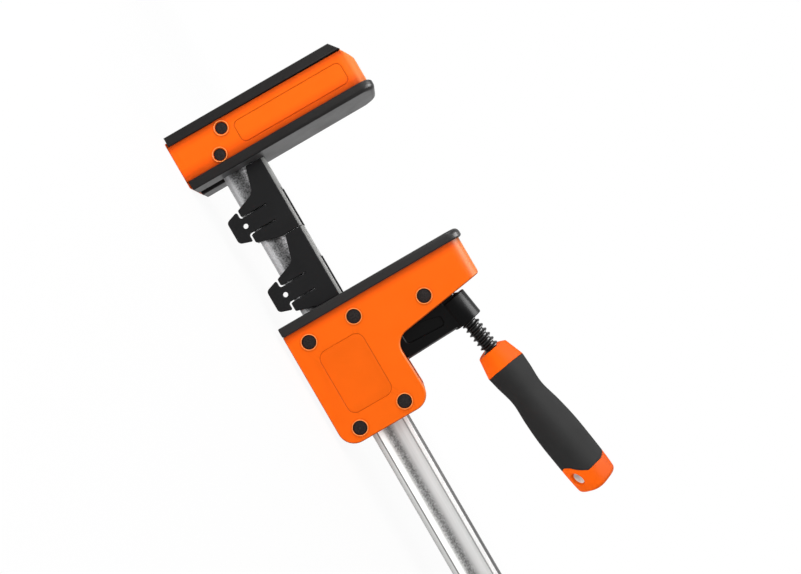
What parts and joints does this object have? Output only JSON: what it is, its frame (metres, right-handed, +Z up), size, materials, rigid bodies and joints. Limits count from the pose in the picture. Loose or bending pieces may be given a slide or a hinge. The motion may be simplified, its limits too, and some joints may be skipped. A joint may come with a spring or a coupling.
{
  "type": "parallel clamp",
  "caption": "Parallel bar clamp: deep orange jaws with dark pads, one fixed and one sliding, a leaning screw with a soft-grip handle and clip-on work supports on a steel bar.",
  "frame": {"origin": "middle of the clamp's length and width, on the level of the fixed jaw's rear end", "axes": "+X along the bar from the fixed jaw to the free end, +Z up along the reach of the jaws, camera side of the picture at -Y"},
  "size_m": [0.4596, 0.04, 0.1566],
  "materials": {
    "orange_casing": "satin moulded orange",
    "pad_plastic": "fine-textured charcoal",
    "support_plastic": "satin black",
    "zinc_bar": "bright zinc plate",
    "core_casting": "as cast",
    "black_casting": "gloss black paint",
    "black_screw": "oiled black oxide",
    "bright_steel": "ground steel",
    "dark_fastener": "black oxide",
    "handle_plastic": "satin moulded orange",
    "grip_rubber": "soft matte charcoal"
  },
  "bodies": {
    "bar": {"bar": "zinc_bar", "fixed_jaw_core": "core_casting", "fixed_front_shell": "orange_casing", "fixed_back_shell": "orange_casing", "fixed_clamp_pad": "pad_plastic", "spreader_pad": "pad_plastic", "fixed_jaw_bolts": "dark_fastener", "fixed_jaw_nuts": "dark_fastener", "bar_end_cap": "support_plastic", "end_cap_pin": "bright_steel"},
    "jaw": {"jaw_core": "core_casting", "jaw_front_shell": "orange_casing", "jaw_back_shell": "orange_casing", "jaw_clamp_pad": "pad_plastic", "jaw_screws": "dark_fastener", "lower_guide": "support_plastic", "thrust_seat": "bright_steel", "brake_spring": "bright_steel", "brake_spring_rivet": "bright_steel"},
    "arm": {"clamp_arm": "black_casting", "jam_pins": "bright_steel"},
    "cup": {"thrust_cup": "bright_steel"},
    "handle": {"spindle": "black_screw", "handle_core": "handle_plastic", "handle_grip": "grip_rubber", "handle_pin": "bright_steel"},
    "upper_support": {"upper_support": "support_plastic"},
    "lower_support": {"lower_support": "support_plastic"}
  },
  "joints": [
    {"name": "jaw_slide", "type": "slide", "parent": "bar", "child": "jaw", "axis": [1, 0, 0], "range_m": [0, 0.194]},
    {"name": "arm_feed", "type": "slide", "parent": "jaw", "child": "arm", "axis": [1, 0, 0], "range_m": [0, 0.02134]},
    {"name": "cup_shift", "type": "slide", "parent": "jaw", "child": "cup", "axis": [0, 0, -1], "range_m": [0, 0.00335]},
    {"name": "spindle_turn", "type": "hinge", "parent": "cup", "child": "handle", "pos_m": [-0.0452, 0, 0.1158], "axis": [-0.988, 0, -0.1547], "range_deg": [0, 1944]},
    {"name": "upper_support_slide", "type": "slide", "parent": "bar", "child": "upper_support", "axis": [1, 0, 0], "range_m": [0, 0.0647]},
    {"name": "lower_support_slide", "type": "slide", "parent": "bar", "child": "lower_support", "axis": [1, 0, 0], "range_m": [0, 0.1294]}
  ],
  "couplings": [
    {"joint": "spindle_turn", "follows": "arm_feed", "rad_per_m": 1589.9},
    {"joint": "cup_shift", "follows": "arm_feed", "ratio": 0.1566},
    {"joint": "upper_support_slide", "follows": "jaw_slide", "ratio": 0.33333},
    {"joint": "lower_support_slide", "follows": "jaw_slide", "ratio": 0.66667}
  ]
}
